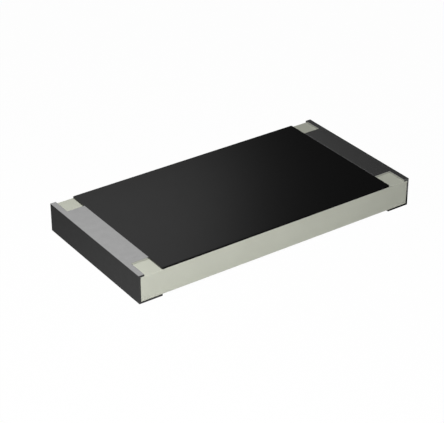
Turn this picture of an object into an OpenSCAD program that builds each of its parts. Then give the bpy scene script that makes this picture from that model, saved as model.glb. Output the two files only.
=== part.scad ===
// Thick film chip resistor, inch size 2512, with wrap-around terminals.
// X runs along the chip from terminal to terminal, Y across it and Z up.
// The origin lies under the middle of the chip, in the plane of its solder pads.
// The chip is drawn as it is made: electrodes, resistive film and glass are printed on
// the ceramic, a laser trims the film, a black overcoat seals it, conductive paste wraps
// the ends, and nickel and tin are plated over the paste.

/* [Chip] */
// Length over the two plated ends
chip_length = 6.35; // [5.5:0.05:8]
// Width of the ceramic and of the plated ends
chip_width = 3.2; // [2.8:0.05:4.5]
// Thickness of the ceramic plate
ceramic_thickness = 0.52; // [0.3:0.01:0.8]

/* [Terminals] */
// Reach of the plated lip over the top face, from the end face
lip_reach = 0.12; // [0.1:0.01:0.25]
// Reach of the solder pad under the chip, from the end face
pad_reach = 0.5; // [0.3:0.01:1]
// Reach of the land on top, from the end face to the overcoat
land_reach = 0.5; // [0.35:0.01:0.9]
// Width of the plated tongue that runs from the lip to the overcoat
tongue_width = 2.3; // [1.8:0.05:2.6]
// Depth of the conductive paste over the electrodes
paste_cover = 0.018; // [0.01:0.001:0.03]
// Depth of the nickel barrier
nickel_depth = 0.005; // [0.003:0.001:0.01]
// Depth of the tin plating
tin_depth = 0.007; // [0.004:0.001:0.015]

/* [Printed layers] */
// Depth of the printed electrodes, top and bottom
electrode_depth = 0.01; // [0.006:0.001:0.02]
// Length of the top electrode that lies under the overcoat
electrode_tail = 0.35; // [0.25:0.01:0.6]
// Depth of the resistive film
film_depth = 0.01; // [0.006:0.001:0.02]
// Length of film that lies on each top electrode
film_overlap = 0.15; // [0.05:0.01:0.18]
// Distance of the film's long edges inside those of the electrodes
film_inset = 0.1; // [0.05:0.01:0.3]
// Depth of the glass over the film
glass_depth = 0.008; // [0.005:0.001:0.015]
// Reach of the glass past the film's edges
glass_margin = 0.06; // [0.02:0.01:0.06]
// Depth of the overcoat over the highest glass
overcoat_cover = 0.01; // [0.005:0.001:0.03]
// Rounding of the overcoat's upper edges
overcoat_edge = 0.008; // [0.004:0.001:0.015]
// Rounding of the overcoat's corners, seen from above
overcoat_corner = 0.025; // [0.01:0.005:0.1]

/* [Laser trim] */
// Width of the cut
kerf_width = 0.05; // [0.02:0.01:0.08]
// Place of the first cut along the chip
kerf_x = -0.6; // [-1:0.1:0.5]
// Length of the first cut, across the film
kerf_plunge = 0.9; // [0.3:0.05:1.2]
// Length of the second cut, along the film
kerf_run = 1.1; // [0.3:0.1:1.5]

/* [Hidden] */
$fn = 48;

// Depths of the terminal: paste over the ceramic, plating over the paste, and both
paste_depth = electrode_depth + paste_cover;
plating_depth = nickel_depth + tin_depth;
shell_depth = paste_depth + plating_depth;

// Heights over the plane of the pads
ceramic_bottom = shell_depth;
ceramic_middle = ceramic_bottom + ceramic_thickness / 2;
ceramic_top = ceramic_bottom + ceramic_thickness;
film_step = electrode_depth + film_depth;
glass_step = film_step + glass_depth;
overcoat_depth = glass_step + overcoat_cover;

// Distances from the middle of the chip along X, at the right end
end_x = chip_length / 2;
ceramic_x = end_x - shell_depth;
lip_x = end_x - lip_reach;
pad_x = end_x - pad_reach;
overcoat_x = end_x - land_reach;
electrode_x = overcoat_x - electrode_tail;
film_x = electrode_x + film_overlap;
glass_x = film_x + glass_margin;

// Widths across Y
electrode_width = tongue_width - 2 * (plating_depth + paste_cover);
film_width = electrode_width - 2 * film_inset;
glass_width = film_width + 2 * glass_margin;

// A terminal's pieces are drawn at the right end, and side -1 turns them to the left end
module at_end(side) {
    if (side < 0)
        mirror([1, 0, 0]) children();
    else
        children();
}

// A plain block between two opposite corners
module block(low, high) {
    translate(low) cube(high - low);
}

// A rectangle between two opposite corners, its own corners turned with radius r
module rounded_rectangle(low, high, r) {
    size = high - low;
    if (r > 0) {
        translate(low + [r, 0]) square(size - [2 * r, 0]);
        translate(low + [0, r]) square(size - [0, 2 * r]);
        for (x = [low[0] + r, high[0] - r], y = [low[1] + r, high[1] - r])
            translate([x, y]) circle(r);
    } else {
        translate(low) square(size);
    }
}

// An outline in X and Z, carried across the chip from y = -width / 2 to width / 2
module across(width) {
    translate([0, width / 2, 0])
        rotate([90, 0, 0]) linear_extrude(width) children();
}

// An outline in Y and Z, carried along the chip between two places on X
module along(from, to) {
    translate([from, 0, 0])
        rotate([90, 0, 90]) linear_extrude(to - from) children();
}

// A block whose three outlines all have corners of radius r, so that every edge is round
module rounded_block(low, high, r) {
    intersection() {
        across(high[1] - low[1])
            rounded_rectangle([low[0], low[2]], [high[0], high[2]], r);
        along(low[0], high[0])
            rounded_rectangle([low[1], low[2]], [high[1], high[2]], r);
        translate([0, 0, low[2]]) linear_extrude(high[2] - low[2])
            rounded_rectangle([low[0], low[1]], [high[0], high[1]], r);
    }
}

// The outside of a terminal with plating of the given depth grown on its paste.
// Plating grows evenly, so it turns round the paste's edges with its own depth as radius.
module terminal_outside(grown) {
    ungrown = plating_depth - grown;
    half_width = chip_width / 2 - ungrown;
    half_tongue = tongue_width / 2 - ungrown;
    outer_x = end_x - ungrown;
    top = ceramic_top + paste_depth + grown;
    // End wall, and the lip over the top face
    rounded_block([lip_x + ungrown, -half_width, ungrown], [outer_x, half_width, top], grown);
    // Solder pad under the chip
    rounded_block([pad_x + ungrown, -half_width, ungrown],
        [outer_x, half_width, ceramic_middle], grown);
    // Tongue from the lip to the overcoat
    along(overcoat_x, ceramic_x)
        rounded_rectangle([-half_tongue, ceramic_middle], [half_tongue, top], grown);
}

// The path of the trimming laser: in from the chip's long edge, then along the film
module kerf() {
    start_y = -chip_width / 2;
    turn_y = -film_width / 2 + kerf_plunge;
    translate([0, 0, ceramic_top]) linear_extrude(overcoat_depth) {
        translate([kerf_x - kerf_width / 2, start_y])
            square([kerf_width, turn_y - start_y]);
        translate([kerf_x, turn_y - kerf_width / 2])
            square([kerf_run, kerf_width]);
        for (x = [kerf_x, kerf_x + kerf_run])
            translate([x, turn_y]) circle(kerf_width / 2);
    }
}

// A print of the given width: flat on the ceramic, with a step up over each electrode.
// The step begins at step_x and the print ends at last_x; both are given for the right end.
module stepped_print(width, step_x, last_x, flat_depth, step_depth) {
    block([-last_x, -width / 2, ceramic_top], [last_x, width / 2, ceramic_top + flat_depth]);
    for (side = [-1, 1])
        at_end(side)
            block([step_x, -width / 2, ceramic_top],
                [last_x, width / 2, ceramic_top + step_depth]);
}

// Alumina plate, scribed and snapped from a larger sheet
module ceramic_substrate() {
    color([0.75, 0.76, 0.7])
        block([-ceramic_x, -chip_width / 2, ceramic_bottom],
            [ceramic_x, chip_width / 2, ceramic_top]);
}

// Silver palladium print on top, from the ceramic's end to under the overcoat
module top_electrode() {
    color([0.8, 0.79, 0.76])
        block([electrode_x, -electrode_width / 2, ceramic_top],
            [ceramic_x, electrode_width / 2, ceramic_top + electrode_depth]);
}

// Silver print underneath, with paste over its inner end and its sides
module bottom_electrode() {
    covered = plating_depth + paste_cover;
    half_width = chip_width / 2 - covered;
    color([0.8, 0.79, 0.76])
        block([pad_x + covered, -half_width, ceramic_bottom - electrode_depth],
            [ceramic_x, half_width, ceramic_bottom]);
}

module top_electrodes() {
    for (side = [-1, 1])
        at_end(side) top_electrode();
}

// Ruthenium oxide print that joins the two electrodes, with the laser's cut through it
module resistive_film() {
    color([0.16, 0.15, 0.15])
        difference() {
            stepped_print(film_width, electrode_x - film_depth, film_x, film_depth, film_step);
            top_electrodes();
            kerf();
        }
}

// Fired glass over the film and round its edges, cut by the same laser
module glass_coat() {
    color([0.35, 0.42, 0.38])
        difference() {
            stepped_print(glass_width, electrode_x - film_depth - glass_depth, glass_x,
                film_depth + glass_depth, glass_step);
            top_electrodes();
            resistive_film();
            kerf();
        }
}

// Black resin over the full width of the chip, which also fills the laser's cut
module black_overcoat() {
    top = ceramic_top + overcoat_depth;
    half_width = chip_width / 2;
    color([0.13, 0.13, 0.13])
        difference() {
            intersection() {
                rounded_block([-overcoat_x, -half_width, ceramic_middle],
                    [overcoat_x, half_width, top], overcoat_edge);
                translate([0, 0, ceramic_top]) linear_extrude(overcoat_depth)
                    rounded_rectangle([-overcoat_x, -half_width], [overcoat_x, half_width],
                        overcoat_corner);
            }
            top_electrodes();
            resistive_film();
            glass_coat();
        }
}

// Conductive paste wrapped round the end, over both electrodes
module end_electrode() {
    color([0.6, 0.58, 0.54])
        difference() {
            terminal_outside(0);
            ceramic_substrate();
            top_electrode();
            bottom_electrode();
        }
}

// Nickel plated over the paste, which keeps molten solder from it
module nickel_barrier() {
    color([0.66, 0.65, 0.62])
        difference() {
            terminal_outside(nickel_depth);
            terminal_outside(0);
            ceramic_substrate();
        }
}

// Tin plated over the nickel, the metal that shows and takes the solder
module tin_plating() {
    color([0.55, 0.55, 0.55])
        difference() {
            terminal_outside(plating_depth);
            terminal_outside(nickel_depth);
            ceramic_substrate();
        }
}

ceramic_substrate();
at_end(-1) top_electrode();  // top_electrode_left
at_end(1) top_electrode();  // top_electrode_right
at_end(-1) bottom_electrode();  // bottom_electrode_left
at_end(1) bottom_electrode();  // bottom_electrode_right
resistive_film();
glass_coat();
black_overcoat();
at_end(-1) end_electrode();  // end_electrode_left
at_end(1) end_electrode();  // end_electrode_right
at_end(-1) nickel_barrier();  // nickel_barrier_left
at_end(1) nickel_barrier();  // nickel_barrier_right
at_end(-1) tin_plating();  // tin_plating_left
at_end(1) tin_plating();  // tin_plating_right
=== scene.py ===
import math

import bmesh
import bpy
import numpy as np
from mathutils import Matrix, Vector


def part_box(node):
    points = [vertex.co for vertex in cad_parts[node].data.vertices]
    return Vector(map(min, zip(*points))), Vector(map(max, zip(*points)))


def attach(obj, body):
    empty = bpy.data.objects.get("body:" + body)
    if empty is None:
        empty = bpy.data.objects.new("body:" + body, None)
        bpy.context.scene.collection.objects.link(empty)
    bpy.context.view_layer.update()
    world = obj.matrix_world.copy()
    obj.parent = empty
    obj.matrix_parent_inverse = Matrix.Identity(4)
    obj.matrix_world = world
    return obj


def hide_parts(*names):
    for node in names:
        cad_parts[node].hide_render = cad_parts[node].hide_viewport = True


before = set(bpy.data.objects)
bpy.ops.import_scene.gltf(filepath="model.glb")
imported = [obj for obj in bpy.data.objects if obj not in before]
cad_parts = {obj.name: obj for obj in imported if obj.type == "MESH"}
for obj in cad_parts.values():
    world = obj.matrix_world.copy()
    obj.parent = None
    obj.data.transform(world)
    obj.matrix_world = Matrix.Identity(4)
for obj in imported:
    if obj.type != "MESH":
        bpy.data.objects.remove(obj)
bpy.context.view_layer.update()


# Ceramic plate
# The body of the chip is a plate of alumina, pressed and fired as a thin sheet.
# The sheet is scored and snapped into chips, so the plate's edges are only just broken.
MM = 0.001
QUARTER = math.pi / 2
ARC_STEPS = 6
HEM_SHARE = 0.125
JOIN = 0.00005 * MM
SHARP_ANGLE = math.radians(35)
GRAIN_DETAIL = 2.0
CLOUD_DETAIL = 3.0
NOISE_LOW = 0.3
NOISE_HIGH = 0.7
MIX_FIRST_COLOUR = 6
MIX_SECOND_COLOUR = 7
MIX_COLOUR = 2
PLATE_ROUND = 0.006 * MM
PLATE_PALE = (0.64, 0.655, 0.562)
PLATE_DULL = (0.60, 0.615, 0.527)
PLATE_GRAIN = 0.02 * MM
PLATE_CLOUD = 0.5 * MM
PLATE_ROUGHNESS = (0.55, 0.7)
PLATE_RELIEF = (0.002 * MM, 0.15)


def slab_rings(low, high, edge, corner):
    """Rings of a slab with round edges, an array of rings by points by coordinates. The path is the
    plan outline: four quarter circles of radius corner, joined by straight sides. The profile carried
    along it goes out from the bottom face on a quarter circle of radius edge, up the side, and in to
    the top face on another, with a narrow hem on each flat beside the rounding. A ring is the path,
    moved in and up by one point of the profile. A corner moved in by its radius or more is a point."""
    turn = np.linspace(0, QUARTER, ARC_STEPS + 1)
    hem = edge * HEM_SHARE
    inset = np.concatenate([[edge + hem], edge * (1 - np.sin(turn)), [0]])
    lift = np.concatenate([[0], edge * (1 - np.cos(turn)), [edge + hem]])
    inset = np.concatenate([inset, inset[::-1]])[:, None]
    height = np.concatenate([low[2] + lift, high[2] - lift[::-1]])[:, None]
    angle = np.arange(4)[:, None] * QUARTER + turn
    across = np.array([1, -1, -1, 1])[:, None] * np.ones_like(turn)
    along = np.array([1, 1, -1, -1])[:, None] * np.ones_like(turn)
    middle = (np.array(low) + np.array(high)) / 2
    half = (np.array(high) - np.array(low)) / 2
    turned = np.maximum(corner, inset)
    bend = turned - inset
    x = middle[0] + across.ravel() * (half[0] - turned) + bend * np.cos(angle).ravel()
    y = middle[1] + along.ravel() * (half[1] - turned) + bend * np.sin(angle).ravel()
    return np.stack([x, y, np.broadcast_to(height, x.shape)], axis=-1)


def ring_faces(rows, columns):
    """Faces of a closed stack of rings: quads between neighbours, and one flat face on each end."""
    index = np.arange(rows * columns).reshape(rows, columns)
    ahead = np.roll(index, -1, axis=1)
    quads = np.stack([index[:-1], ahead[:-1], ahead[1:], index[1:]], axis=-1)
    return quads.reshape(-1, 4).tolist() + [index[0, ::-1].tolist(), index[-1].tolist()]


def new_piece(name, points, faces, material):
    """A mesh object at the origin. Points that coincide are joined, faces turned outward, and the
    shading runs smoothly over roundings and breaks at sharper edges."""
    mesh = bpy.data.meshes.new(name)
    mesh.from_pydata(points.reshape(-1, 3), [], faces)
    shape = bmesh.new()
    shape.from_mesh(mesh)
    bmesh.ops.remove_doubles(shape, verts=shape.verts, dist=JOIN)
    bmesh.ops.dissolve_degenerate(shape, edges=shape.edges, dist=JOIN)
    bmesh.ops.recalc_face_normals(shape, faces=shape.faces)
    shape.to_mesh(mesh)
    shape.free()
    mesh.shade_smooth()
    mesh.set_sharp_from_angle(angle=SHARP_ANGLE)
    mesh.materials.append(material)
    piece = bpy.data.objects.new(name, mesh)
    bpy.context.scene.collection.objects.link(piece)
    return piece


class Finish:
    """A node material with one Principled shader, and short ways to add and wire its nodes."""

    def __init__(self, name, **fixed):
        """Makes the material, and sets the shader's sockets that are the same all over."""
        self.material = bpy.data.materials.new(name)
        self.material.use_nodes = True
        self.tree = self.material.node_tree
        self.shader = self.tree.nodes["Principled BSDF"]
        for socket, value in fixed.items():
            self.shader.inputs[socket].default_value = value

    def add(self, kind, inputs, output, **settings):
        """Adds a node, sets or links its inputs, and gives back one of its outputs."""
        node = self.tree.nodes.new(kind)
        for name, value in settings.items():
            setattr(node, name, value)
        for name, value in inputs.items():
            if isinstance(value, bpy.types.NodeSocket):
                self.tree.links.new(value, node.inputs[name])
            else:
                node.inputs[name].default_value = value
        return node.outputs[output]

    def wire(self, socket, value):
        """Links a node's output to a socket of the shader."""
        self.tree.links.new(value, self.shader.inputs[socket])

    def speckle(self, size, detail=GRAIN_DETAIL):
        """Noise over the piece's own coordinates, with lumps of about the given size."""
        place = self.add("ShaderNodeTexCoord", {}, "Object")
        inputs = {"Vector": place, "Scale": 1 / size, "Detail": detail}
        return self.add("ShaderNodeTexNoise", inputs, "Fac")

    def follow(self, noise, low, high):
        """A number that follows a noise from low to high."""
        inputs = {
            "Value": noise, "From Min": NOISE_LOW, "From Max": NOISE_HIGH, "To Min": low, "To Max": high}
        return self.add("ShaderNodeMapRange", inputs, "Result")

    def tone(self, noise, first, second):
        """A colour that follows a noise from the first tone to the second. The colour sockets of a Mix
        node share their names with others, so they go by their places."""
        share = self.follow(noise, 0, 1)
        inputs = {"Factor": share, MIX_FIRST_COLOUR: (*first, 1), MIX_SECOND_COLOUR: (*second, 1)}
        return self.add("ShaderNodeMix", inputs, MIX_COLOUR, data_type="RGBA")

    def relief(self, noise, depth, strength):
        """Bump of the given depth from a noise."""
        inputs = {"Height": noise, "Distance": depth, "Strength": strength}
        self.wire("Normal", self.add("ShaderNodeBump", inputs, "Normal"))


def alumina():
    """Fired alumina: a greenish pale grey, faintly clouded, with a fine matte grain. Its tone follows
    the mean of the cloud and the grain."""
    finish = Finish("alumina")
    grain = finish.speckle(PLATE_GRAIN)
    cloud = finish.speckle(PLATE_CLOUD, CLOUD_DETAIL)
    mean = finish.add("ShaderNodeMix", {"Factor": 0.5, "A": cloud, "B": grain}, "Result")
    finish.wire("Base Color", finish.tone(mean, PLATE_DULL, PLATE_PALE))
    finish.wire("Roughness", finish.follow(grain, *PLATE_ROUGHNESS))
    finish.relief(grain, *PLATE_RELIEF)
    return finish.material


plate_low, plate_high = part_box("ceramic_substrate")
plate_rings = slab_rings(plate_low, plate_high, PLATE_ROUND, PLATE_ROUND)
plate = new_piece("ceramic_plate", plate_rings, ring_faces(*plate_rings.shape[:2]), alumina())
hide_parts("ceramic_substrate")
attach(plate, "root")


# Printed electrodes
# Silver paste is printed on both faces of the plate at each end, and fired.
# The film lies on the upper pair; the lower pair is under the solder pads.
SILVER_PALE = (0.66, 0.64, 0.60)
SILVER_DULL = (0.58, 0.56, 0.52)
SILVER_ROUGHNESS = (0.4, 0.55)
PRINT_GRAIN = 0.015 * MM
PRINT_RELIEF = (0.002 * MM, 0.3)


def fired_print(name, first, second, roughness, metallic):
    """A fired print: two close tones in small grains, dull where the grains have sintered."""
    finish = Finish(name, Metallic=metallic)
    grain = finish.speckle(PRINT_GRAIN)
    finish.wire("Base Color", finish.tone(grain, first, second))
    finish.wire("Roughness", finish.follow(grain, *roughness))
    finish.relief(grain, *PRINT_RELIEF)
    return finish.material


def dress(material, *nodes):
    """Gives CAD pieces that keep their own shape a finish."""
    for name in nodes:
        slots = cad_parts[name].data.materials
        slots.clear()
        slots.append(material)


silver = fired_print("silver_print", SILVER_DULL, SILVER_PALE, SILVER_ROUGHNESS, metallic=1.0)
dress(silver, "top_electrode_left", "top_electrode_right")
dress(silver, "bottom_electrode_left", "bottom_electrode_right")


# Resistive film and its glass
# The resistor is a black print of ruthenium oxide that steps up onto the electrodes.
# Glass fired over it protects it, and a laser cuts both to trim the resistance.
FILM_PALE = (0.028, 0.026, 0.026)
FILM_DULL = (0.018, 0.017, 0.017)
FILM_ROUGHNESS = (0.45, 0.6)
GLASS_PALE = (0.12, 0.18, 0.14)
GLASS_DULL = (0.09, 0.14, 0.11)
GLASS_CLOUD = 0.2 * MM
GLASS_ROUGHNESS = (0.08, 0.16)


def fired_glass():
    """Fired glass: greenish and a little cloudy, smooth from melting."""
    finish = Finish("fired_glass")
    cloud = finish.speckle(GLASS_CLOUD, CLOUD_DETAIL)
    finish.wire("Base Color", finish.tone(cloud, GLASS_DULL, GLASS_PALE))
    finish.wire("Roughness", finish.follow(cloud, *GLASS_ROUGHNESS))
    return finish.material


film = fired_print("resistive_print", FILM_DULL, FILM_PALE, FILM_ROUGHNESS, metallic=0.0)
dress(film, "resistive_film")
dress(fired_glass(), "glass_coat")


# Black overcoat
# A black epoxy print seals the film over the whole width of the chip.
# It levels out before it cures, so it is flat and half glossy, with just rounded edges.
OVERCOAT_ROUND = 0.004 * MM
OVERCOAT_CORNER = 0.025 * MM
OVERCOAT_PALE = (0.0010, 0.0010, 0.0010)
OVERCOAT_DULL = (0.0006, 0.0006, 0.0006)
OVERCOAT_IOR = 1.5
OVERCOAT_PEEL = 0.25 * MM
OVERCOAT_ROUGHNESS = (0.165, 0.175)
FILLER_GRAIN = 0.018 * MM
FILLER_RELIEF = (0.001 * MM, 0.02)


def black_epoxy():
    """Cured black epoxy: nearly black, with fine filler in it and a faint unevenness of its gloss."""
    finish = Finish("black_resin", IOR=OVERCOAT_IOR)
    filler = finish.speckle(FILLER_GRAIN)
    peel = finish.speckle(OVERCOAT_PEEL)
    finish.wire("Base Color", finish.tone(filler, OVERCOAT_DULL, OVERCOAT_PALE))
    finish.wire("Roughness", finish.follow(peel, *OVERCOAT_ROUGHNESS))
    finish.relief(filler, *FILLER_RELIEF)
    return finish.material


def carve(piece, *nodes):
    """Cuts the room of CAD pieces out of a piece, as a print takes the shape of what it covers. The
    cut faces are split into triangles."""
    rooms = []
    for name in nodes:
        shape = bmesh.new()
        shape.from_mesh(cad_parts[name].data)
        bmesh.ops.remove_doubles(shape, verts=shape.verts, dist=JOIN)
        room = bpy.data.objects.new("room", bpy.data.meshes.new("room"))
        shape.to_mesh(room.data)
        shape.free()
        bpy.context.scene.collection.objects.link(room)
        rooms.append(room)
        cut = piece.modifiers.new("cut", "BOOLEAN")
        cut.operation = "DIFFERENCE"
        cut.solver = "EXACT"
        cut.object = room
    carved = bpy.data.meshes.new_from_object(piece.evaluated_get(bpy.context.evaluated_depsgraph_get()))
    piece.modifiers.clear()
    for room in rooms:
        bpy.data.objects.remove(room)
    shape = bmesh.new()
    shape.from_mesh(carved)
    bmesh.ops.triangulate(shape, faces=shape.faces, quad_method="BEAUTY", ngon_method="BEAUTY")
    shape.to_mesh(carved)
    shape.free()
    carved.set_sharp_from_angle(angle=SHARP_ANGLE)
    piece.data = carved


overcoat_rings = slab_rings(*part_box("black_overcoat"), OVERCOAT_ROUND, OVERCOAT_CORNER)
overcoat = new_piece("overcoat", overcoat_rings, ring_faces(*overcoat_rings.shape[:2]), black_epoxy())
carve(overcoat, "top_electrode_left", "top_electrode_right", "resistive_film", "glass_coat")
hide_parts("black_overcoat")
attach(overcoat, "root")


# End paste and nickel
# Each end is dipped in conductive paste, which joins the electrodes round the end.
# Nickel is plated on it, and keeps molten solder from the silver.
PASTE_PALE = (0.36, 0.34, 0.30)
PASTE_DULL = (0.30, 0.28, 0.25)
PASTE_ROUGHNESS = (0.45, 0.6)
NICKEL_PALE = (0.44, 0.43, 0.40)
NICKEL_DULL = (0.38, 0.37, 0.34)
NICKEL_ROUGHNESS = (0.25, 0.4)

paste = fired_print("end_paste", PASTE_DULL, PASTE_PALE, PASTE_ROUGHNESS, metallic=1.0)
dress(paste, "end_electrode_left", "end_electrode_right")
nickel = fired_print("nickel", NICKEL_DULL, NICKEL_PALE, NICKEL_ROUGHNESS, metallic=1.0)
dress(nickel, "nickel_barrier_left", "nickel_barrier_right")


# Tin plating
# Tin plated over the nickel is the metal that shows at each end and takes the solder.
# It is one satin skin: a tongue and a lip on top, the end wall, and the solder pad underneath.
LIP_REACH = 0.12 * MM
TIN_ROUND = 0.003 * MM
BUTT_ROUND = 0.002 * MM
HEM = 0.001 * MM
STEP_OUT = JOIN / 4
DEEP_INSIDE = 1.0
TONGUE_LINES = 8
PAD_LINES = 8
WALL_LINES = 6
ACROSS_LINES = 10
TIN_PALE = (0.75, 0.75, 0.75)
TIN_DULL = (0.71, 0.71, 0.71)
TIN_GRAIN = 0.012 * MM
TIN_CLOUD = 0.15 * MM
TIN_ROUGHNESS = (0.155, 0.165)
TIN_RELIEF = (0.001 * MM, 0.02)

tin_low, tin_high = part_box("tin_plating_right")
nickel_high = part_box("nickel_barrier_right")[1]
paste_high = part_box("end_electrode_right")[1]
electrode_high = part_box("top_electrode_right")[1]
terminal_depth = tin_high.z - plate_high.z
tin_depth = tin_high.z - nickel_high.z
nickel_round = nickel_high.z - paste_high.z
half_tongue = electrode_high.y + tin_high.z - electrode_high.z
lip_x = tin_high.x - LIP_REACH


def rim(inside, depth, radius):
    """Height of a layer at a distance inside its border. Outside it is nothing. At the border a wall
    rises to depth - radius, and a quarter circle of that radius leads on to the full depth."""
    turn = np.clip(inside, 0, radius) - radius
    return np.where(inside < 0, 0, depth - radius + np.sqrt(radius ** 2 - turn ** 2))


def rim_lines(border, inward, radius):
    """Grid lines at a border: just outside it, on it, over its rounding and just past that."""
    turn = np.linspace(0, QUARTER, ARC_STEPS + 1)
    steps = np.concatenate([[-STEP_OUT], radius * (1 - np.cos(turn)), [radius + HEM]])
    return border + inward * steps


def plated_lines(border, inward):
    """Grid lines for the rims of both skins of the tin at one border, the nickel's a tin's depth in."""
    outer = rim_lines(border, inward, TIN_ROUND)
    return np.concatenate([outer, rim_lines(border + inward * tin_depth, inward, nickel_round)])


def stations(x, z, wall, bulge, in_tongue, in_lip, in_pad):
    """Rows of places on the plate's skin, in order round the end: where each stands, the directions in
    which its wall and its rounding rise, and how far it lies inside the borders on its way."""
    return np.stack(np.broadcast_arrays(x, z, *wall, *bulge, in_tongue, in_lip, in_pad))


def terminal_stations():
    """All stations of the right end, from the tongue's end over the lip, down the end wall and in
    underneath to the pad's end. At the plate's two corners they fan out over a quarter turn."""
    deep = DEEP_INSIDE
    top_x = np.unique(np.concatenate([
        tin_low.x + BUTT_ROUND * (1 - np.cos(np.linspace(0, QUARTER, ARC_STEPS + 1))),
        np.linspace(tin_low.x + BUTT_ROUND + HEM, lip_x - HEM, TONGUE_LINES),
        plated_lines(lip_x, 1)]))
    pad_x = np.unique(np.concatenate([
        plated_lines(tin_low.x, 1),
        np.linspace(tin_low.x + 2 * TIN_ROUND, plate_high.x - HEM, PAD_LINES)]))[::-1]
    fan = np.concatenate([[QUARTER], np.linspace(QUARTER, 0, ARC_STEPS + 1), [0]])
    fan_x = plate_high.x - HEM * (np.arange(len(fan)) == 0)
    fan_drop = HEM * (np.arange(len(fan)) == len(fan) - 1)
    wall_z = np.linspace(plate_high.z, plate_low.z, WALL_LINES)[1:-1]
    rows = [
        stations(top_x, plate_high.z, (0, 1), (0, 1), top_x - tin_low.x, top_x - lip_x, deep),
        stations(fan_x, plate_high.z - fan_drop, (1, 1), (np.cos(fan), np.sin(fan)), deep, deep, deep),
        stations(plate_high.x, wall_z, (1, 0), (1, 0), deep, deep, deep),
        stations(fan_x, plate_low.z + fan_drop, (1, -1), (np.cos(fan), -np.sin(fan)),
                 -deep, deep, deep)[:, ::-1],
        stations(pad_x, plate_low.z, (0, -1), (0, -1), -deep, deep, pad_x - tin_low.x)]
    return np.concatenate(rows, axis=1)[:, :, None]


def terminal_lines():
    """Lines across the chip, with those of the rims at its sides and at the tongue's sides."""
    half = np.unique(np.concatenate([
        plated_lines(tin_high.y, -1), plated_lines(half_tongue, -1),
        np.linspace(HEM, half_tongue - 2 * TIN_ROUND, ACROSS_LINES)]))
    return np.concatenate([-half[::-1], half])


def plated_skin(depth, radius, inset):
    """Points and heights of one skin of the terminal. Its height over the plate is the higher of the
    tongue and the cap, and each of these is the lowest of the rims at its own borders. A point stands
    at its station, raised first along the wall's direction and then, for the last part of its height
    that belongs to the rounding, along the rounding's own direction."""
    x, z, wall_x, wall_z, bulge_x, bulge_z, in_tongue, in_lip, in_pad = terminal_stations()
    across = terminal_lines()
    in_side = tin_high.y - inset - np.abs(across)
    in_tongue_side = half_tongue - inset - np.abs(across)
    cap = np.minimum.reduce(np.broadcast_arrays(
        rim(in_side, depth, radius), rim(in_lip - inset, depth, radius),
        rim(in_pad - inset, depth, radius)))
    tongue = np.minimum(rim(in_tongue_side, depth, radius), rim(in_tongue, depth, BUTT_ROUND))
    height = np.maximum(cap, tongue)
    bulge = np.maximum(0, height - (depth - radius))
    wall = height - bulge
    x = x + wall * wall_x + bulge * bulge_x
    z = z + wall * wall_z + bulge * bulge_z
    return np.stack([x, np.broadcast_to(across, x.shape), z], axis=-1), height


def shell_faces(height):
    """Faces of a shell from two skins on one grid, first the outer and then the inner. Cells where
    the outer skin has no height are left out, and a strip closes the shell at the tongue's end."""
    rows, columns = height.shape
    index = np.arange(rows * columns).reshape(rows, columns)
    cells = np.stack([index[:-1, :-1], index[1:, :-1], index[1:, 1:], index[:-1, 1:]], axis=-1)
    cells = cells[(height.ravel()[cells] > 0).any(axis=-1)]
    below = rows * columns
    strip = np.stack([index[0, :-1], index[0, 1:], index[0, 1:] + below, index[0, :-1] + below], axis=-1)
    strip = strip[(height[0, :-1] > 0) | (height[0, 1:] > 0)]
    return np.concatenate([cells, cells[:, ::-1] + below, strip]).tolist()


def satin_tin():
    """Plated tin: a neutral bright grey, satin from its fine crystals, faintly clouded."""
    finish = Finish("tin", Metallic=1.0)
    grain = finish.speckle(TIN_GRAIN)
    cloud = finish.speckle(TIN_CLOUD)
    finish.wire("Base Color", finish.tone(cloud, TIN_DULL, TIN_PALE))
    finish.wire("Roughness", finish.follow(grain, *TIN_ROUGHNESS))
    finish.relief(grain, *TIN_RELIEF)
    return finish.material


tin = satin_tin()
outer_skin, outer_height = plated_skin(terminal_depth, TIN_ROUND, 0)
inner_skin = plated_skin(terminal_depth - tin_depth, nickel_round, tin_depth)[0]
tin_faces = shell_faces(outer_height)
for end, side in (("left", -1), ("right", 1)):
    skins = np.concatenate([outer_skin, inner_skin]) * np.array([side, 1, 1])
    terminal = new_piece("tin_skin_" + end, skins, tin_faces, tin)
    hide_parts("tin_plating_" + end)
    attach(terminal, "root")


# Table and light
# The chip lies on a white table that curves up at a distance, as on a photographer's sweep.
# Near lamps in front and at the left light the matte ceramic, and a low one fills its far side.
# Soft boxes round the chip give the gloss, and dark sheets keep the table out of the metal.
# These sheets show in reflections only: painted shade, with a painted pool of the key's light on one.
TABLE_FLAT = 140 * MM
TABLE_BEND = 60 * MM
TABLE_WHITE = (0.85, 0.85, 0.85)
TABLE_SHARE = 0.98
FLAT_STEPS = 24
BEND_STEPS = 16
ROUND_STEPS = 96
KEY_PLACE = Vector((-7.14, -10.13, 12.77)) * MM
KEY_SIZE = 8 * MM
KEY_POWER = 0.00228
SIDE_PLACE = Vector((-6.68, 2.19, 8.43)) * MM
SIDE_SIZE = 4 * MM
SIDE_POWER = 0.00026
FILL_PLACE = Vector((-14, 38, 2)) * MM
FILL_SIZE = 4 * MM
FILL_POWER = 0.005
SKY_LEVEL = 0.012
CLOTH_FLAT = 50 * MM
CLOTH_BEND = 18 * MM
CLOTH_LIFT = 0.002 * MM
# Painted light: the glow of the grey sheet under the chip, at the chip.
PAINTED_CLOTH_LEVEL = 0.0486
BOX_DISTANCE = 45 * MM
BOX_STEPS = 64
BOX_LEVEL = 0.3
LEFT_ANGLES = (85, 290)
LEFT_HEIGHTS = (6 * MM, 60 * MM)
FRONT_ANGLES = (290, 380)
FRONT_HEIGHTS = (3 * MM, 60 * MM)
BEHIND_ANGLES = (20, 85)
BEHIND_HEIGHTS = (1 * MM, 90 * MM)
BEHIND_REST = 0.0356
BEHIND_LEVEL = 0.503
BEHIND_EDGE = 54.64
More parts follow.
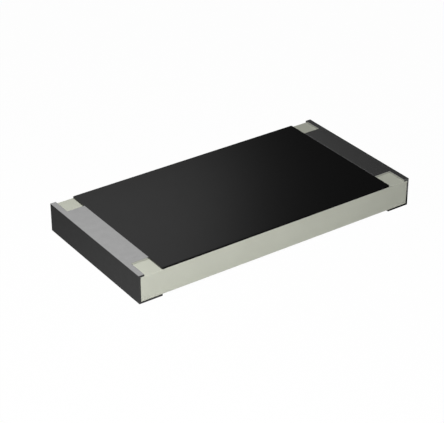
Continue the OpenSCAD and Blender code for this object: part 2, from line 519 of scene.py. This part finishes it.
BEHIND_FADE = 3.25
BEHIND_FOOT = 22.97 * MM
BEHIND_RISE = 1.1 * MM
ABOVE_HEIGHT = 90 * MM
ABOVE_REACH = 60 * MM
ABOVE_STEPS = 8
CARD_STEPS = 8
GREY_LIFT = 0.004 * MM
PAINTED_REFLECTION_LEVEL = 0.116
GREY_REACH = 20 * MM
GREY_SPREAD = 4
GREY_STEPS = 64
BLACK_LIFT = 0.006 * MM
PAINTED_SHADE_LEVEL = 0.004
BLACK_REACH = 1.7 * MM
BLACK_SLANT = 1.42
BLACK_START = 2.5 * MM
BLACK_OVERLAP = 0.06 * MM


def dish(flat, bend, lift):
    """Points of a round table with a raised edge: a profile turned about Z. The profile goes out flat
    from the middle, in steps that grow, and then up on a quarter circle."""
    turn = np.linspace(0, QUARTER, BEND_STEPS + 1)
    steps = np.linspace(0, 1, FLAT_STEPS + 1)[:-1]
    out = np.concatenate([flat * steps ** 2, flat + bend * np.sin(turn)])[:, None]
    up = np.concatenate([np.zeros(FLAT_STEPS), bend * (1 - np.cos(turn))])[:, None] + lift
    angle = np.linspace(0, 2 * math.pi, ROUND_STEPS + 1)
    return np.stack(np.broadcast_arrays(out * np.cos(angle), out * np.sin(angle), up), axis=-1)


def sheet_faces(rows, columns):
    """Quads between neighbours of an open grid of points."""
    index = np.arange(rows * columns).reshape(rows, columns)
    quads = np.stack([index[:-1, :-1], index[:-1, 1:], index[1:, 1:], index[1:, :-1]], axis=-1)
    return quads.reshape(-1, 4).tolist()


def bare_material(name):
    """A material with no shader yet, its nodes and links, and the socket of its surface."""
    material = bpy.data.materials.new(name)
    material.use_nodes = True
    nodes = material.node_tree.nodes
    nodes.remove(nodes["Principled BSDF"])
    return material, nodes, material.node_tree.links, nodes["Material Output"].inputs["Surface"]


def white_matte():
    """Matte white, and most of it plain white to the camera and in reflections, so that only a trace
    of the shadows is left on it."""
    material, nodes, links, surface = bare_material("white_table")
    matte = nodes.new("ShaderNodeBsdfDiffuse")
    matte.inputs["Color"].default_value = (*TABLE_WHITE, 1)
    ray = nodes.new("ShaderNodeLightPath")
    seen = ray.outputs["Is Camera Ray"]
    for way in ("Is Glossy Ray", "Is Transmission Ray"):
        either = nodes.new("ShaderNodeMath")
        either.operation = "MAXIMUM"
        links.new(seen, either.inputs[0])
        links.new(ray.outputs[way], either.inputs[1])
        seen = either.outputs["Value"]
    share = nodes.new("ShaderNodeMath")
    share.operation = "MULTIPLY"
    share.inputs[1].default_value = TABLE_SHARE
    links.new(seen, share.inputs[0])
    white = nodes.new("ShaderNodeEmission")
    mix = nodes.new("ShaderNodeMixShader")
    links.new(share.outputs["Value"], mix.inputs["Fac"])
    links.new(matte.outputs["BSDF"], mix.inputs[1])
    links.new(white.outputs["Emission"], mix.inputs[2])
    links.new(mix.outputs["Shader"], surface)
    return material


def glow(name, points, level):
    """A sheet that shows in reflections only, with the same light all over."""
    material, nodes, links, surface = bare_material(name)
    material.cycles.emission_sampling = "NONE"
    light = nodes.new("ShaderNodeEmission")
    light.inputs["Strength"].default_value = level
    links.new(light.outputs["Emission"], surface)
    sheet = new_piece(name, points, sheet_faces(*points.shape[:2]), material)
    sheet.visible_camera = False
    sheet.visible_diffuse = False
    sheet.visible_shadow = False
    sheet.visible_transmission = False
    sheet.visible_volume_scatter = False
    return sheet


def shade(sheet, level_at):
    """Makes a sheet's light change over it. The light at each point comes from level_at, a function of
    the coordinates, and is kept in the attribute level."""
    places = np.empty(len(sheet.data.vertices) * 3)
    sheet.data.vertices.foreach_get("co", places)
    levels = sheet.data.attributes.new("level", "FLOAT", "POINT")
    levels.data.foreach_set("value", level_at(*places.reshape(-1, 3).T))
    tree = sheet.data.materials[0].node_tree
    level = tree.nodes.new("ShaderNodeAttribute")
    level.attribute_name = "level"
    tree.links.new(level.outputs["Fac"], tree.nodes["Emission"].inputs["Strength"])


def painted_cloth_light(x, y, z):
    """The sheet's glow is painted light, a pool of the key's light painted on it: its level at the chip,
    times the cube of the chip's distance from the key over the point's own."""
    distance = np.sqrt((x - KEY_PLACE.x) ** 2 + (y - KEY_PLACE.y) ** 2 + (z - KEY_PLACE.z) ** 2)
    return PAINTED_CLOTH_LEVEL * (KEY_PLACE.length / distance) ** 3


def ramp(share):
    """Rises smoothly from nought to one: half of one plus the share over the root of one plus the
    share's square."""
    return 0.5 + 0.5 * share / np.sqrt(1 + share ** 2)


def behind_level(x, y, z):
    """The box behind fades on a ramp towards its right edge, and on another towards its foot."""
    from_edge = (np.degrees(np.arctan2(y, x)) - BEHIND_EDGE) / BEHIND_FADE
    from_foot = (z - BEHIND_FOOT) / BEHIND_RISE
    return BEHIND_REST + BEHIND_LEVEL * ramp(from_edge) * ramp(from_foot)


def soft_box(name, angles, heights, level):
    """A standing soft box bent round the chip: a grid of angles round Z by heights."""
    angle = np.radians(np.linspace(*angles, BOX_STEPS + 1))
    height = np.linspace(*heights, BOX_STEPS + 1)[:, None]
    points = np.broadcast_arrays(BOX_DISTANCE * np.cos(angle), BOX_DISTANCE * np.sin(angle), height)
    return glow(name, np.stack(points, axis=-1), level)


def above():
    """Points of a round soft box over the chip: a flat disc of circles."""
    out = np.linspace(0, ABOVE_REACH, ABOVE_STEPS + 1)[:, None]
    angle = np.linspace(0, 2 * math.pi, BOX_STEPS + 1)
    return np.stack(np.broadcast_arrays(out * np.cos(angle), out * np.sin(angle), ABOVE_HEIGHT), axis=-1)


def painted_reflection_card():
    """Points of a card beside the right end wall: lines across, that grow longer with the distance
    from the wall. They start at the dark card's slanting edge. The card glows in reflections only,
    a painted reflection that lightens the end wall."""
    out = np.linspace(0, GREY_REACH, GREY_STEPS + 1)[:, None]
    near = tin_low.y - HEM - BLACK_SLANT * np.maximum(out - BLACK_OVERLAP, 0)
    far = tin_high.y + GREY_SPREAD * out
    along = near + np.linspace(0, 1, 2 * CARD_STEPS + 1) * (far - near)
    return np.stack(np.broadcast_arrays(tin_high.x + HEM + out, along, GREY_LIFT), axis=-1)


def painted_shade_card():
    """Points of a card before the right terminal's front edges: a parallelogram that slants away to
    the right. The card shows in reflections only, painted shade that darkens those edges."""
    out = np.linspace(0, BLACK_REACH, CARD_STEPS + 1)[:, None]
    along = np.linspace(BLACK_START, tin_high.x + BLACK_OVERLAP, CARD_STEPS + 1)
    front = tin_low.y - HEM - BLACK_SLANT * out
    return np.stack(np.broadcast_arrays(along + out, front, BLACK_LIFT), axis=-1)


def lamp(name, place, size, power):
    """A round lamp that faces the chip and doesn't show in its gloss."""
    light = bpy.data.lights.new(name, "AREA")
    light.shape = "DISK"
    light.size = size
    light.energy = power
    stand = bpy.data.objects.new(name, light)
    stand.location = place
    stand.rotation_mode = "QUATERNION"
    stand.rotation_quaternion = place.to_track_quat("Z", "Y")
    stand.visible_camera = False
    stand.visible_glossy = False
    bpy.context.scene.collection.objects.link(stand)


table_points = dish(TABLE_FLAT, TABLE_BEND, 0)
new_piece("white_table", table_points, sheet_faces(*table_points.shape[:2]), white_matte())
# The grey sheet under the chip shows in reflections only, with painted light that falls off from the
# key.
painted_cloth_sheet = glow("painted_light_cloth", dish(CLOTH_FLAT, CLOTH_BEND, CLOTH_LIFT), PAINTED_CLOTH_LEVEL)
shade(painted_cloth_sheet, painted_cloth_light)
behind = soft_box("soft_box_behind", BEHIND_ANGLES, BEHIND_HEIGHTS, BEHIND_LEVEL)
shade(behind, behind_level)
soft_box("soft_box_left", LEFT_ANGLES, LEFT_HEIGHTS, BOX_LEVEL)
soft_box("soft_box_front", FRONT_ANGLES, FRONT_HEIGHTS, BOX_LEVEL)
glow("soft_box_above", above(), BOX_LEVEL)
# A grey card that glows in reflections only: a painted reflection on the right end wall.
glow("painted_reflection_card", painted_reflection_card(), PAINTED_REFLECTION_LEVEL)
# A dark card that shows in reflections only: painted shade on the right terminal's front edges.
glow("painted_shade_card", painted_shade_card(), PAINTED_SHADE_LEVEL)
lamp("key", KEY_PLACE, KEY_SIZE, KEY_POWER)
lamp("side", SIDE_PLACE, SIDE_SIZE, SIDE_POWER)
lamp("fill", FILL_PLACE, FILL_SIZE, FILL_POWER)

world = bpy.data.worlds.new("studio")
bpy.context.scene.world = world
world.use_nodes = True
sky = world.node_tree.nodes["Background"]
sky.inputs["Color"].default_value = (1, 1, 1, 1)
sky.inputs["Strength"].default_value = SKY_LEVEL


# Camera
# It looks down on the chip from the front left, as in the photograph, through a long lens.
# It stands near enough for the chip's far end to look a little smaller.
CAMERA_AZIMUTH = math.radians(-34.94)
CAMERA_ELEVATION = math.radians(29.98)
CAMERA_AIM = Vector((-0.1316, 0.1598, 0.0975)) * MM
CAMERA_DISTANCE = 30.266 * MM
CAMERA_LENS = 123.9
CAMERA_SENSOR = 36
CAMERA_NEAR = 1 * MM
CAMERA_FAR = 1000 * MM

camera_data = bpy.data.cameras.new("camera")
camera_data.lens = CAMERA_LENS
camera_data.sensor_width = CAMERA_SENSOR
camera_data.clip_start = CAMERA_NEAR
camera_data.clip_end = CAMERA_FAR
camera = bpy.data.objects.new("camera", camera_data)
back = Vector((
    math.sin(CAMERA_AZIMUTH) * math.cos(CAMERA_ELEVATION),
    -math.cos(CAMERA_AZIMUTH) * math.cos(CAMERA_ELEVATION),
    math.sin(CAMERA_ELEVATION)))
camera.location = CAMERA_AIM + back * CAMERA_DISTANCE
camera.rotation_mode = "QUATERNION"
camera.rotation_quaternion = back.to_track_quat("Z", "Y")
bpy.context.scene.collection.objects.link(camera)
bpy.context.scene.camera = camera
bpy.context.scene.view_settings.view_transform = "Standard"
